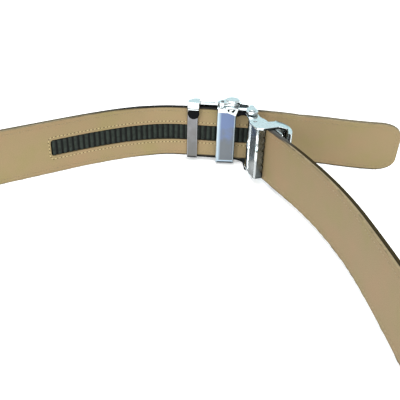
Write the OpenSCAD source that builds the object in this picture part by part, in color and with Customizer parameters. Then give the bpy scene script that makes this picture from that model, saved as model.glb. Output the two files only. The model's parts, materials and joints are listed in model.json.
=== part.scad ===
// Fastened ratchet belt: a leather strap with a toothed strip, held in its self-locking buckle.
// X runs along the buckle, Y points away from the wearer at the buckle, Z is up.

/* [Strap] */
// Height of the strap as it stands on its edge, mm
strap_w = 35; // [34.5:0.1:35.2]
// Thickness of the black outer leather, mm
outer_t = 1.9; // [1.6:0.1:2]
// Thickness of the tan lining, mm
lining_t = 1.6; // [1.4:0.1:1.6]
// Length of the free end past the middle of the front bar, mm
tail_len = 131.5; // [118:0.5:140]
// Distance between the cross sections of the strap, mm
strap_step = 6; // [5:1:10]

/* [Toothed strip] */
// Height of the toothed strip, mm
rack_w = 10; // [9:0.1:10.6]
// Distance from tooth to tooth, mm
tooth_pitch = 3.67; // [3.2:0.01:4.2]
// Teeth to the left of the pawl
teeth_left = 34; // [24:1:36]
// Teeth to the right of the pawl
teeth_right = 3; // [2:1:3]
// Height of a tooth, mm
tooth_h = 0.9; // [0.6:0.05:1]

/* [Buckle] */
// Length of the front plate along the strap, mm
plate_len = 37; // [34:0.5:37]
// Crown of the front plate from end to end, mm
end_crown = 1.4; // [0.6:0.1:2]
// Crown of the front plate from edge to edge, mm
edge_crown = 3.6; // [2:0.1:3.8]
// Width of the narrow bar, mm
bar_w = 7.2; // [6:0.1:7.6]
// Width of the pawl housing, mm
housing_w = 12.4; // [12:0.1:12.6]
// Radius of the release lever's thumb disc, mm
thumb_r = 5.1; // [4.6:0.1:5.6]

/* [Clamp] */
// Angle between the clamp and the buckle, degrees
clamp_angle = -60.35; // [-61:0.05:-60]
// Teeth on the clamp's jaw
jaw_teeth = 7; // [5:1:9]

/* [Output] */
// Which sub-part to draw

/* [Hidden] */
$fn = 64;

// The finished belt is moved so that its box is centred and it stands on Z = 0.
row_shift = [40.33, 156.16, 3.6];

// The strap's inner face is followed along its middle height, from the front bar.
// Each row is one bend: its length, its turn to the left, and the lift and lean at its end.
RUN = 0;
TURN = 1;
LIFT = 2;
LEAN = 3;
loop_bends = [
  [14, 1.4, 0, -1.5],
  [22, 19.1, 0, -3],
  [25, 11.6, 0, -2],
  [30, 5.5, 0, 0],
  [30, 0.5, 0, 1],
  [35, -1.9, 0, 2.6],
  [35, -1.9, 0, 3],
  [93.33, 52.06, -1.8, 0],
  [93.33, 52.06, -3.6, 0],
  [93.33, 20.77, -3.6, 0],
  [93.33, 20.77, -3.6, 0],
  [93.33, 51.15, -1.8, 0],
  [93.33, 48.85, 0, 0],
  [60, 3.2, 0, 3],
  [30, 6.3, 0, 3],
  [30, 5.6, 0, 3],
  [30, 4.6, 0, 1],
  [30, 0, 0, 0],
];
tail_bends = [
  [14, 0, 0, 0],
  [13, 0.5, 0, -4],
  [18, -3, 0, 0],
  [20, -2.2, 0, 9],
  [25, -6, 0, 9],
  [25, 9, 0, 9],
  [25, 5, 0, 9],
];
loop_len = sum_of([for (row = loop_bends) row[RUN]]);

// Depths of the strap's layers, measured outward from its inner face
layer_gap = 0.1;
outer_in = lining_t + layer_gap;
strap_t = outer_in + outer_t;
strap_mid = strap_w / 2;

// Window for the toothed strip, and the strip's own middle height and depths
rack_mid = strap_mid - 0.4;
window_w = rack_w + 1;
window_play = 0.6;
window_corner = 1.8;
rack_back = lining_t - 0.1;
rack_root = lining_t - 0.35;
rack_tip = rack_root - tooth_h;
crest_from = 0.55;
crest_to = 0.85;
pawl_tooth_x = 21.2;

// Rounded tip of the free end
tip_corner_run = 13;
tip_corner_drop = 9;

// Front plate and walls of the frame
frame_low = -3.6;
frame_high = 38.9;
wall_t = 1.5;
wall_step = 0.3;
plate_left = -10.4;
plate_right = plate_left + plate_len;
wall_left = plate_left + wall_step;
wall_right = plate_right - wall_step;
plate_in = 5.2;
plate_out = 9.6;
edge_steps = 12;
plate_high = 37.3;
rim_low = 36.1;
rim_high = 37.6;
top_wall_y = 3.4;
low_wall_y = 5;
top_wall_low = frame_high - wall_t;
low_wall_high = frame_low + wall_t;

// Narrow bar and its post
bar_mid = -6.6;
bar_face = -2;
bar_t = 1;
bar_low = -1.2;
bar_high = 35.1;
post_left = -10;
post_right = -2.2;
post_low = 35.3;
post_high = 39.7;
post_face = -3.4;
post_lip = 34.2;
cap_at = [-5.9, 32];
cap_r = 3.9;

// Pawl housing
housing_left = 10.3;
housing_right = housing_left + housing_w;
housing_face = -6.2;
housing_slant = 1;
sheet_t = 0.8;
housing_low = -2;
housing_high = 37.2;
flange_back = plate_in - 0.2;

// Pawl, its axle and the release lever
axle = [13.2, -2.7];
axle_r = 1.1;
axle_fit = 0.05;
pawl_h = 9.2;
pawl_hub_r = 1.8;
lever_low = 39.1;
lever_high = 42.2;
thumb = [19.6, 1.2];

// Hinge between the frame and the clamp
hinge = [33.14, -9.04];
hinge_r = 1.3;
hinge_fit = 0.05;
lug_r = 3.9;
low_lug_r = 2.8;
arm_left = 14.3;
arm_open = 24.6;

// Lip of the frame over the housing's face, and its two recesses: a round one and a slanted one
lip_front = -8.1;
lip_back = -6.5;
lip_edge = [
  [10.6, 35.6],
  [17, 35.6],
  [20.6, 34.5],
  [22.6, 33.5],
  [24, 37.7],
  [24, 38.7],
  [10.6, 38.7],
];
recess_deep = 1.2;
recess_r = 0.8;
round_recess = [17.7, 37.4];
slanted_recess = [
  [19.5, 36.6],
  [20.4, 35.9],
  [22.2, 37.7],
  [21.3, 38.3],
];

// Clamp, in its own frame: the first number runs along the strap, the second outward
ALONG = 0;
OUT = 1;
cheek_t = 1.3;
cheek_low = -1.5;
cheek_high = 36.7;
barrel_r = 2.2;
clamp_end = 15.5;
clamp_half = strap_t / 2;
anvil_gap = 0.2;
anvil_t = 1.2;
anvil_end = 34;
anvil_high = 35.7;
cover_mid = [25.6, -6.9];
cover_r = 18.4;
cover_t = 2.2;
cover_from = 46;
cover_to = 124;
high_cheek_edge = [
  [-1, -3.8],
  [6, -5.8],
  [13.5, -8.6],
  [19.8, -9.2],
  [22.8, -8.5],
  [25.2, -5.2],
  [25.6, 5],
  [30, 8.2],
  [28, 10.6],
  [16.4, 8.6],
  [15.4, 3.6],
  [6, 2.8],
  [-1, 3.8],
];
low_cheek_edge = [
  [-1, -2.7],
  [8, -4.8],
  [12.5, -6.2],
  [14.6, -5],
  [16.2, -2.2],
  [25.6, -0.6],
  [25.6, 5],
  [30, 8.2],
  [28, 10.6],
  [16.4, 8.6],
  [15.4, 3.6],
  [6, 2.4],
  [-1, 2.7],
];

// Jaw of the clamp
jaw_pin_at = [12.5, -4.5];
jaw_pin_r = 1.2;
jaw_hub_r = 2.2;
jaw_crest = [21.2, -6.8];
jaw_crest_r = 1.4;
jaw_bite = [22.4, -2.1];
jaw_low = 1;
jaw_high = 34.9;
jaw_notch = 2.6;

// Adds up a list of numbers.
function sum_of(list, i = 0) = i >= len(list) ? 0 : list[i] + sum_of(list, i + 1);

// Joins a list of lists into one list.
function joined(lists) = [for (one = lists) each one];

// End of an arc of the given length and turn that starts at p with heading h.
function arc_end(p, h, run, turn) =
  let (bend = turn * PI / 180)
  let (chord = abs(bend) < 0.0001 ? run : run * sin(turn / 2) / (bend / 2))
  p + chord * [cos(h + turn / 2), sin(h + turn / 2)];

// Place reached after a distance along the bends: x, y, heading, lift and lean.
function walk(bends, dist, i = 0, p = [0, 0], h = 180, lift = 0, lean = 0) =
  let (row = bends[i])
  let (share = min(dist / row[RUN], 1))
  let (last = i == len(bends) - 1)
  let (part = last ? dist / row[RUN] : share)
  let (end = arc_end(p, h, row[RUN] * part, row[TURN] * part))
  dist <= row[RUN] || last
    ? [end.x, end.y, h + row[TURN] * part, lift + (row[LIFT] - lift) * part, lean + (row[LEAN] - lean) * part]
    : walk(bends, dist - row[RUN], i + 1, end, h + row[TURN], row[LIFT], row[LEAN]);

// Point in the buckle's frame for a point in the clamp's frame.
function from_clamp(p) = hinge + [
  p[ALONG] * cos(clamp_angle) - p[OUT] * sin(clamp_angle),
  p[ALONG] * sin(clamp_angle) + p[OUT] * cos(clamp_angle),
];

// The loop's closing error is spread evenly along it, so that it always ends in the clamp.
loop_end = walk(loop_bends, loop_len);
closing = from_clamp([clamp_end, -clamp_half]) - [loop_end.x, loop_end.y];

// Place along the strap: the loop for positive distances, the free end for negative ones.
function strap_place(s) =
  let (w = s >= 0 ? walk(loop_bends, s) : walk(tail_bends, -s, 0, [0, 0], 0))
  let (shift = s > 0 ? closing * s / loop_len : [0, 0])
  [w.x + shift.x, w.y + shift.y, s >= 0 ? w[2] - 180 : w[2], w[3], w[4]];

// Point of the strap at distance s, at a depth outward from the inner face and a height.
function strap_point(s, depth, height) =
  let (w = strap_place(s))
  let (out = [-sin(w[2]), cos(w[2])])
  let (up = height - strap_mid)
  let (level = depth * cos(w[4]) - up * sin(w[4]))
  [
    w.x + out.x * level,
    w.y + out.y * level,
    w[3] + strap_mid + up * cos(w[4]) + depth * sin(w[4]),
  ];

// Half height of the strap, which narrows to the rounded tip of the free end.
function half_height(s) =
  let (d = s + tail_len)
  d >= tip_corner_run
    ? strap_w / 2
    : let (a = acos(1 - max(d, 0) / tip_corner_run))
      strap_w / 2 - tip_corner_drop * (1 - sin(a));

// Distances at which the strap is cut into sections, including the given extra ones.
tip_steps = [for (a = [0:12:84]) -tail_len + tip_corner_run * (1 - cos(a))];
body_count = ceil((loop_len + tail_len - tip_corner_run) / strap_step);
body_span = loop_len + tail_len - tip_corner_run;
body_steps = [for (i = [0:body_count]) tip_corner_run - tail_len + body_span * i / body_count];

// Faces of a tube of rings with m points each. Each end is closed by a fan from its second point.
function tube_faces(rings, m) = let (last = (rings - 1) * m) concat(
  [for (i = [0:rings - 2]) for (j = [0:m - 1]) [i * m + j, i * m + (j + 1) % m, (i + 1) * m + j]],
  [for (i = [0:rings - 2]) for (j = [0:m - 1]) [i * m + (j + 1) % m, (i + 1) * m + (j + 1) % m, (i + 1) * m + j]],
  [for (j = [2:m - 1]) [1, (j + 1) % m, j]],
  [for (j = [2:m - 1]) [last + 1, last + j, last + (j + 1) % m]]
);

// Solid swept along the strap from rings of depth and height.
module swept(steps, rings) {
  points = joined([for (i = [0:len(steps) - 1]) [for (q = rings[i]) strap_point(steps[i], q[0], q[1])]]);
  polyhedron(points, tube_faces(len(steps), len(rings[0])), convexity = 10);
}

// Moves a part from the buckle's frame to the finished position.
module placed() {
  translate(row_shift)
    children();
}

// Moves a part from the clamp's frame to the finished position.
module in_clamp() {
  placed()
    translate([hinge.x, hinge.y, 0])
      rotate([0, 0, clamp_angle])
        children();
}

// Upright prism between two heights.
module prism(low, high) {
  translate([0, 0, low])
    linear_extrude(height = high - low)
      children();
}

// Prism between two places along Y, of an outline drawn in X and Z.
module facing(near, far) {
  translate([0, far, 0])
    rotate([90, 0, 0])
      linear_extrude(height = far - near)
        children();
}

// Box between two corners.
module block(a, b) {
  translate(a)
    cube(b - a);
}

// The window reaches from the first tooth to the last one.
rack_from = -(pawl_tooth_x + teeth_right * tooth_pitch);
rack_to = rack_from + (teeth_left + teeth_right) * tooth_pitch;
window_from = rack_from - window_play;
window_to = rack_to + window_play;
window_steps = [window_from, window_from + window_corner, window_to - window_corner, window_to];

// Sorted list of the section distances, without those too close to the window's own.
function far_from_window(s) = min([for (w = window_steps) abs(s - w)]) > 1.2;
function between(list, a, b) = [for (s = list) if (s > a && s < b && far_from_window(s)) s];
lining_steps = concat(
  tip_steps,
  between(body_steps, -1000, window_steps[0]),
  [window_steps[0], window_steps[1]],
  between(body_steps, window_steps[1], window_steps[2]),
  [window_steps[2], window_steps[3]],
  between(body_steps, window_steps[3], 10000)
);

// Half height of the window, which has cut corners.
function window_half(s) =
  s <= window_steps[0] || s >= window_steps[3] ? window_w / 2 - window_corner : window_w / 2;

// Eight points of a lining section: four heights on the inner face, then four on the back.
function lining_ring(s) =
  let (h = half_height(s))
  let (w = window_half(s))
  let (levels = [strap_mid - h, rack_mid - w, rack_mid + w, strap_mid + h])
  [for (depth = [0, lining_t]) for (z = levels) strap_point(s, depth, z)];

// Two triangles for the four-sided patch a, b, c, d.
function patch(a, b, c, d) = [[a, b, c], [a, c, d]];

function lining_faces(steps) =
  let (n = len(steps))
  let (open = [for (s = steps) s >= window_steps[0] - 0.01 && s <= window_steps[3] + 0.01])
  concat(
    joined([for (i = [0:n - 2])
      let (a = 8 * i)
      let (b = a + 8)
      let (slot = open[i] && open[i + 1])
      concat(
        joined([for (k = [0:2]) if (!(slot && k == 1)) patch(a + k, b + k, b + k + 1, a + k + 1)]),
        joined([for (k = [0:2]) if (!(slot && k == 1)) patch(b + 5 + k, b + 4 + k, a + 4 + k, a + 5 + k)]),
        patch(a + 4, b + 4, b, a),
        patch(a + 3, b + 3, b + 7, a + 7),
        slot ? patch(a + 1, b + 1, b + 5, a + 5) : [],
        slot ? patch(a + 6, b + 6, b + 2, a + 2) : []
      )]),
    joined([for (i = [0:n - 1])
      let (a = 8 * i)
      let (first = open[i] && !open[i - 1])
      let (final = open[i] && !open[i + 1])
      first ? patch(a + 1, a + 5, a + 6, a + 2) : final ? patch(a + 2, a + 6, a + 5, a + 1) : []]),
    joined([for (k = [0:2]) patch(k, k + 1, k + 5, k + 4)]),
    joined([for (k = [0:2]) let (a = 8 * (n - 1)) patch(a + k + 4, a + k + 5, a + k + 1, a + k)])
  );

// The outer leather is cut at the same sections and heights as the lining, so that they stay parallel.
module strap_outer() {
  color([0.05, 0.05, 0.05])
    placed()
      swept(lining_steps, [for (s = lining_steps)
        let (h = half_height(s))
        let (w = window_half(s))
        [
          [outer_in, strap_mid - h],
          [strap_t, strap_mid - h],
          [strap_t, strap_mid + h],
          [outer_in, strap_mid + h],
          [outer_in, rack_mid + w],
          [outer_in, rack_mid - w],
        ]]);
}

module strap_lining() {
  color([0.78, 0.66, 0.47])
    placed()
      polyhedron(joined([for (s = lining_steps) lining_ring(s)]), lining_faces(lining_steps), convexity = 10);
}

module toothed_strip() {
  color([0.12, 0.14, 0.12])
    placed() {
      count = teeth_left + teeth_right;
      // Distance from the tooth's start as a share of the pitch, and whether that point is a crest
      tooth_shape = [
        [0, false],
        [crest_from, true],
        [crest_to, true],
      ];
      low = rack_mid - rack_w / 2;
      high = rack_mid + rack_w / 2;
      marks = joined([for (i = [0:count - 1])
        [for (row = tooth_shape) [rack_from + (i + row[0]) * tooth_pitch, row[1]]]]);
      ends = concat(marks, [[rack_to, false]]);
      swept([for (m = ends) m[0]], [for (m = ends)
        let (face = m[1] ? rack_tip : rack_root)
        [
          [face, low],
          [rack_back, low],
          [rack_back, high],
          [face, high],
        ]]);
    }
}

// Front plate with a crowned outer face, its low and high walls, posts and hinge lugs.
module buckle_frame() {
  color([0.8, 0.82, 0.85])
    placed()
      difference() {
        union() {
          front_plate();
          // Rim over the strap, the raised wall that carries the lever and the hinge, and the low wall
          block([wall_left, top_wall_y, rim_low], [housing_left - 0.2, plate_in + 0.6, rim_high]);
          block([housing_left - 0.6, top_wall_y, top_wall_low], [wall_right, plate_in + 0.7, frame_high]);
          block([housing_left - 0.6, plate_in - 0.1, rim_low], [wall_right, plate_in + 0.7, frame_high]);
          block([wall_left, low_wall_y, frame_low], [wall_right, plate_in + 0.6, low_wall_high]);
          // Post over the narrow bar, its lip, and the shelf under the bar's foot
          prism(post_low, post_high)
            polygon([
              [post_left, post_face],
              [post_right, post_face],
              [post_right, plate_in + 1.4],
              [post_left + 4, plate_in + 1.4],
              [post_left, plate_in - 2.6],
            ]);
          block([post_left + 0.1, post_face + 0.1, post_lip], [post_right - 0.1, bar_face - 0.2, post_low + 1]);
          block([post_left, low_wall_y, low_wall_high - 0.5], [post_right, plate_in + 0.6, bar_low - 0.1]);
          // Post over the housing, and the lip in front of the housing's face
          block([housing_left, lip_front + 0.4, top_wall_low], [arm_left + 2, top_wall_y + 1, frame_high]);
          facing(lip_front, lip_back)
            polygon(lip_edge);
          prism(top_wall_low, frame_high)
            high_lug();
          prism(frame_low, low_wall_high)
            low_lug();
        }
        translate([hinge.x, hinge.y, frame_low - 1])
          cylinder(h = frame_high - frame_low + 3, r = hinge_r + hinge_fit);
        translate([axle.x, axle.y, top_wall_low - 1])
          cylinder(h = 5, r = axle_r + axle_fit);
        facing(lip_front - 1, lip_front + recess_deep) {
          translate(round_recess)
            circle(r = recess_r);
          polygon(slanted_recess);
        }
      }
}

// Radius of an arc that rises by a crown over a chord.
function crown_radius(chord, crown) = (chord * chord / 4 + crown * crown) / (2 * crown);

// Plate that is crowned from end to end and, in flat steps, from edge to edge.
module front_plate() {
  end_r = crown_radius(plate_len, end_crown);
  low = frame_low + wall_step;
  half = (plate_high - low) / 2;
  edge_r = crown_radius(2 * half, edge_crown);
  edge_arc = [for (i = [0:edge_steps])
    let (z = half * (2 * i / edge_steps - 1))
    [plate_out - edge_r + sqrt(edge_r * edge_r - z * z), low + half + z]];
  intersection() {
    translate([plate_left, 0, 0])
      rotate([90, 0, 90])
        linear_extrude(height = plate_len)
          polygon(concat([[plate_in, plate_high], [plate_in, low]], edge_arc));
    translate([(plate_left + plate_right) / 2, plate_out - end_r, frame_low - 1])
      cylinder(h = frame_high - frame_low + 2, r = end_r, $fn = 200);
  }
}

// Outline of the arm that reaches inward over the strap to the hinge pin.
module high_lug() {
  translate(hinge)
    circle(r = lug_r);
  translate([32.6, -0.6])
    circle(r = 1.8);
  polygon([
    [arm_left, top_wall_y + 0.5],
    [arm_left, lip_front + 0.6],
    [21.4, lip_front + 0.1],
    [23.6, -7.3],
    [25.4, -6.2],
    [29.4, -6.2],
    [hinge.x - 3, hinge.y - 2.4],
    [hinge.x, hinge.y],
    [hinge.x + 3.5, hinge.y + 1.7],
    [34.3, 0],
    [31, -1.4],
    [30, -3.6],
    [28.6, -4.4],
    [arm_open, -4.4],
    [arm_open, top_wall_y + 0.5],
  ]);
}

module low_lug() {
  translate(hinge)
    circle(r = low_lug_r);
  polygon([
    [17, plate_in + 0.4],
    [wall_right - 0.2, plate_in + 0.4],
    [33.2, 3.2],
    [hinge.x + 2.6, hinge.y + 1],
    [hinge.x - 2.5, hinge.y - 1.2],
    [28.8, 0.5],
    [25, 3.6],
    [17, plate_in - 0.1],
  ]);
}

// Thin steel bar inside the strap, bent under it at the foot.
module narrow_bar() {
  left = bar_mid - bar_w / 2;
  right = bar_mid + bar_w / 2;
  color([0.7, 0.7, 0.74])
    placed() {
      block([left, bar_face, bar_low], [right, bar_face + bar_t, bar_high]);
      block([left, bar_face, bar_low], [right, plate_in - 0.2, bar_low + 0.9]);
    }
}

// Black half-round cap over the upper end of the narrow bar.
module bar_cap() {
  color([0.04, 0.04, 0.05])
    placed()
      intersection() {
        translate([cap_at[0], bar_face - 0.1, cap_at[1]])
          rotate([90, 0, 0])
            cylinder(h = 1.2, r = cap_r);
        block([cap_at[0] - 5, post_face, 20], [cap_at[0] + 5, 0, post_lip - 0.1]);
      }
}

// Black pad under the high lug, beside the clamp's hinge.
module lug_pad() {
  left = housing_right + 0.4;
  back = -2.8;
  front = -5.4;
  slot = arm_open + 0.2;
  color([0.04, 0.04, 0.05])
    placed() {
      facing(front + 0.2, back + 0.3)
        polygon([
          [left + 0.1, 35.8],
          [left + 0.1, 32.4],
          [24.4, 32.5],
          [26, 33.5],
          [28, 33.7],
          [29.8, 33.1],
          [30.4, 34],
          [30.4, 35.2],
          [28.6, 35.8],
        ]);
      prism(35.5, top_wall_low - 0.1)
        polygon([
          [left, front],
          [left, top_wall_y - 0.3],
          [29.6, top_wall_y - 0.3],
          [31.6, 1.6],
          [32.1, 0.2],
          [31, -2.6],
          [28.6, front],
        ]);
      // Raised part that fills the slot between the arm and the wall
      prism(37, frame_high - 0.4)
        polygon([
          [slot, -4],
          [28.4, -4],
          [29.6, -3.2],
          [30.3, -1.6],
          [30.3, -0.4],
          [30.8, 1.6],
          [29.6, top_wall_y - 0.4],
          [slot, top_wall_y - 0.4],
        ]);
    }
}

// Bent sheet cover inside the strap, which keeps the pawl. Its face slants a little.
module pawl_housing() {
  right_face = housing_face + housing_slant;
  color([0.66, 0.66, 0.74])
    placed()
      difference() {
        union() {
          prism(housing_low, housing_high)
            polygon([
              [housing_left, housing_face],
              [housing_right, right_face],
              [housing_right, -0.9],
              [housing_right - sheet_t, -0.9],
              [housing_right - sheet_t, right_face + sheet_t],
              [housing_left + sheet_t, housing_face + sheet_t],
              [housing_left + sheet_t, -0.7],
              [housing_left, -0.7],
            ]);
          prism(housing_low, housing_low + sheet_t)
            housing_flange();
          prism(housing_high - sheet_t, housing_high)
            housing_flange();
        }
        translate([axle.x, axle.y, housing_low - 1])
          cylinder(h = housing_high - housing_low + 2, r = axle_r + axle_fit);
      }
}

// Outline of the housing's flange, from its face back to the frame.
module housing_flange() {
  polygon([
    [housing_left, housing_face],
    [housing_right, housing_face + housing_slant],
    [housing_right, flange_back],
    [housing_left, flange_back],
  ]);
}

// Pawl whose nose sits between two teeth of the strip.
module pawl() {
  color([0.55, 0.55, 0.58])
    placed()
      prism(rack_mid - pawl_h / 2, rack_mid + pawl_h / 2)
        difference() {
          union() {
            translate(axle)
              circle(r = pawl_hub_r);
            polygon([
              [axle.x, axle.y - 1.6],
              [19.5, -2.6],
              [pawl_tooth_x, -1.6],
              [pawl_tooth_x, 0.6],
              [19.4, -0.7],
              [axle.x, axle.y + 1.7],
            ]);
          }
          translate(axle)
            circle(r = axle_r + 0.02);
        }
}

module pawl_axle() {
  color([0.6, 0.6, 0.62])
    placed()
      translate([axle.x, axle.y, housing_low + 0.1])
        cylinder(h = lever_high - housing_low - 0.4, r = axle_r);
}

// Lever on top of the axle, with a round thumb disc.
module release_lever() {
  reach = thumb - axle;
  side = [-reach.y, reach.x] / norm(reach);
  color([0.85, 0.87, 0.9])
    placed()
      difference() {
        union() {
          prism(lever_low, lever_high - 0.6) {
            translate(axle)
              circle(r = 3);
            polygon([
              axle + side * 3,
              axle - side * 3,
              thumb - side * 4.4,
              thumb + side * 4.4,
            ]);
          }
          translate([thumb.x, thumb.y, lever_low])
            cylinder(h = lever_high - lever_low - 0.8, r = thumb_r);
          translate([thumb.x, thumb.y, lever_high - 0.8])
            cylinder(h = 0.8, r1 = thumb_r, r2 = thumb_r - 0.8);
        }
        translate([axle.x, axle.y, lever_low - 1])
          cylinder(h = 5, r = axle_r + 0.02);
      }
}

// Outline of a clamp cheek.
module cheek_shape(edge, r) {
  circle(r = r);
  polygon(edge);
  cover_shape(cover_t);
}

// Curved band of the clamp's outer cover.
module cover_shape(t) {
  translate(cover_mid)
    difference() {
      intersection() {
        circle(r = cover_r, $fn = 180);
        polygon([
          [0, 0],
          [60 * cos(cover_from), 60 * sin(cover_from)],
          [60 * cos((cover_from + cover_to) / 2), 60 * sin((cover_from + cover_to) / 2)],
          [60 * cos(cover_to), 60 * sin(cover_to)],
        ]);
      }
      circle(r = cover_r - t, $fn = 180);
    }
}

// Clamp: two cheeks, the hinge barrel, a plate behind the strap and the curved outer cover.
module clamp_body() {
  anvil_in = clamp_half + anvil_gap;
  color([0.8, 0.82, 0.85])
    in_clamp()
      difference() {
        union() {
          prism(cheek_high - cheek_t, cheek_high)
            cheek_shape(high_cheek_edge, lug_r);
          prism(cheek_low, cheek_low + cheek_t)
            cheek_shape(low_cheek_edge, low_lug_r);
          prism(cheek_low, cheek_high)
            cover_shape(cover_t);
          translate([0, 0, cheek_low])
            cylinder(h = cheek_high - cheek_low, r = barrel_r);
          block([10, anvil_in, cheek_low], [anvil_end, anvil_in + anvil_t, anvil_high]);
          block([10, anvil_in, cheek_low], [14, anvil_in + anvil_t, cheek_high]);
        }
        translate([0, 0, cheek_low - 1])
          cylinder(h = cheek_high - cheek_low + 2, r = hinge_r + hinge_fit);
        translate([jaw_pin_at.x, jaw_pin_at.y, cheek_low - 1])
          cylinder(h = cheek_high - cheek_low + 2, r = jaw_pin_r + 0.02);
      }
}

module hinge_pin() {
  color([0.75, 0.76, 0.8])
    in_clamp() {
      translate([0, 0, frame_low + 0.1])
        cylinder(h = frame_high - frame_low, r = hinge_r);
      translate([0, 0, frame_high + 0.1])
        cylinder(h = 0.8, r1 = 2.3, r2 = 1.8);
    }
}

// Bent jaw whose notched edge bites the strap's lining.
module clamp_jaw() {
  pitch = (jaw_high - jaw_low) / jaw_teeth;
  color([0.62, 0.64, 0.68])
    in_clamp()
      difference() {
        prism(jaw_low, jaw_high)
          difference() {
            union() {
              translate(jaw_pin_at)
                circle(r = jaw_hub_r);
              translate(jaw_crest)
                circle(r = jaw_crest_r);
              polygon([
                jaw_pin_at + [0, -jaw_hub_r],
                jaw_crest + [-0.2, -jaw_crest_r],
                jaw_crest + [jaw_crest_r, 0],
                jaw_bite + [0.7, -0.9],
                jaw_bite,
                jaw_bite + [-1.6, -0.9],
                jaw_crest + [-1.3, 1.6],
                jaw_crest + [-2.6, 0.9],
                jaw_pin_at + [1, jaw_hub_r - 0.3],
              ]);
            }
            translate(jaw_pin_at)
              circle(r = jaw_pin_r + 0.05);
          }
        for (i = [1:jaw_teeth - 1])
          translate([jaw_bite.x - 1.2, jaw_bite.y + 0.6, jaw_low + i * pitch])
            rotate([90, 0, 90])
              linear_extrude(height = 3)
                polygon([[0.2, -pitch * 0.38], [0.2, pitch * 0.38], [-jaw_notch, 0]]);
      }
}

module jaw_pin() {
  color([0.75, 0.76, 0.8])
    in_clamp()
      translate([jaw_pin_at.x, jaw_pin_at.y, cheek_low + 0.1])
        cylinder(h = cheek_high - cheek_low - 0.2, r = jaw_pin_r);
}

strap_outer();
strap_lining();
toothed_strip();
buckle_frame();
narrow_bar();
bar_cap();
lug_pad();
pawl_housing();
pawl();
pawl_axle();
release_lever();
clamp_body();
hinge_pin();
clamp_jaw();
jaw_pin();
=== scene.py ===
"""Looks of a ratchet belt buckle on its fastened leather belt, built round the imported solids.

The strap's leather is rebuilt from the sections of its own solid, so that it can carry a grain, seams
and rounded edges. The metal pieces are rounded copies of their solids. All lengths are in metres.
"""

import json
import math

import bmesh
import bpy
from mathutils import Matrix, Vector


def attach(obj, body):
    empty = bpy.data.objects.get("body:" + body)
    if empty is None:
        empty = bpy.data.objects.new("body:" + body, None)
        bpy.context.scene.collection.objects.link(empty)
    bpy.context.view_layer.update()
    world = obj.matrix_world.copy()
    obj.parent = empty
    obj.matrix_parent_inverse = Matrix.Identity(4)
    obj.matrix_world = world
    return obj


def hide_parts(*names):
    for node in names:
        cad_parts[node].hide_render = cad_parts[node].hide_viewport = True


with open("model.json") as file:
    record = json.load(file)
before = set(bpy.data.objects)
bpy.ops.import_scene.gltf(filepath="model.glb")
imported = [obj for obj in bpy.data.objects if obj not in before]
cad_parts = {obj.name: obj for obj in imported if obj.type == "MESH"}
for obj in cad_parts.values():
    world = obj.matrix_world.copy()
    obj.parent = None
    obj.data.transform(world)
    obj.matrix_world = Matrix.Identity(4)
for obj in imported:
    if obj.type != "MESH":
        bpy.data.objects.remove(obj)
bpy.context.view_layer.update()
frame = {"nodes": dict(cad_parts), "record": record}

MM = 0.001
# Points nearer than this are one point
SAME_POINT = 1e-6

# The strap's layers, as in the source of the solids
LINING_T = 1.6 * MM
LAYER_GAP = 0.1 * MM
INNER_FACE = -(LINING_T + LAYER_GAP)
STEPS_PER_SECTION = 2

# Window in the lining and the toothed strip in it
TEETH = 37
WINDOW_PLAY = 0.6 * MM
WINDOW_MARGIN = 0.5 * MM
WINDOW_CORNER = 1.8 * MM
STRIP_BACK = -0.1 * MM
STRIP_ROOT = -0.45 * MM
STRIP_CREST = -1.35 * MM

# Radius of the rounding along the long edges of each layer, and round the window and the ribs
OUTER_RIM = 0.5 * MM
LINING_RIM = 0.45 * MM
WINDOW_RIM = 0.22 * MM
RIB_RIM = 0.12 * MM

# Places of a piece's further materials. The second is edge paint on leather, partly painted shade by the
# buckle, a painted highlight on the bends of the bars and on the jaw's crest, and dull dark metal as painted
# shade on the frame and the clamp. The third is dull dark metal as painted shade on the bars and the jaw
SECOND = 1
THIRD = 2

# Seams: radius of the corners round the window, distance from the strap's edges, distances from the toothed
# strip at its sides and at its ends, and the length from stitch to stitch
SEAM_CORNER = 2.5 * MM
SEAM_INSET = 2.7 * MM
WINDOW_SEAM = 2.5 * MM
WINDOW_END_SEAM = 1.8 * MM
STITCH_PITCH = 2.5 * MM

# Camera, fitted to the strap's edges in the photograph. Angles in degrees, lens and sensor in mm
CAMERA_AT = (0.06969, -0.20485, 0.17615)
CAMERA_HEADING = 4.65
CAMERA_PITCH = 29.97
CAMERA_ROLL = 1.76
CAMERA_LENS = 51.09
SENSOR = 36.0

# The clamp's hinge line, its turn against the buckle, and its directions away from the hinge and the wearer
HINGE_AT = Vector((73.47 * MM, 147.12 * MM, 0.0))
CLAMP_TURN = math.radians(-60.35)
CLAMP_ALONG = Vector((math.cos(CLAMP_TURN), math.sin(CLAMP_TURN), 0.0))
CLAMP_OUTWARD = Vector((-math.sin(CLAMP_TURN), math.cos(CLAMP_TURN), 0.0))

# A tilt is the share of a face's normal that points along a direction. This one looks towards the wearer
INWARD_TILT = -0.2

# Jaw: least and greatest tilts of its bent crest and of the sides of its notches, and the depths from which
# the notches and the biting edge are dark, outward from the line through the hinge
CREST_TILTS = (0.22, 0.96)
NOTCH_TILTS = (0.25, 0.95)
NOTCH_FROM = -4.3 * MM
NOTCH_EDGE = -3.1 * MM

# Bars: height of the dark lower bend and its tilt, tilt of the cut flank, heights of the lower edges of the
# narrow and the wide bar, and how far above them the tones of the foot reach
DARK_FOOT = 0.85 * MM
FOOT_TILT = -0.1
FLANK_TILT = 0.7
NARROW_FOOT = 2.4 * MM
WIDE_FOOT = 1.6 * MM
FOOT_REACH = 5 * MM

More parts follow.
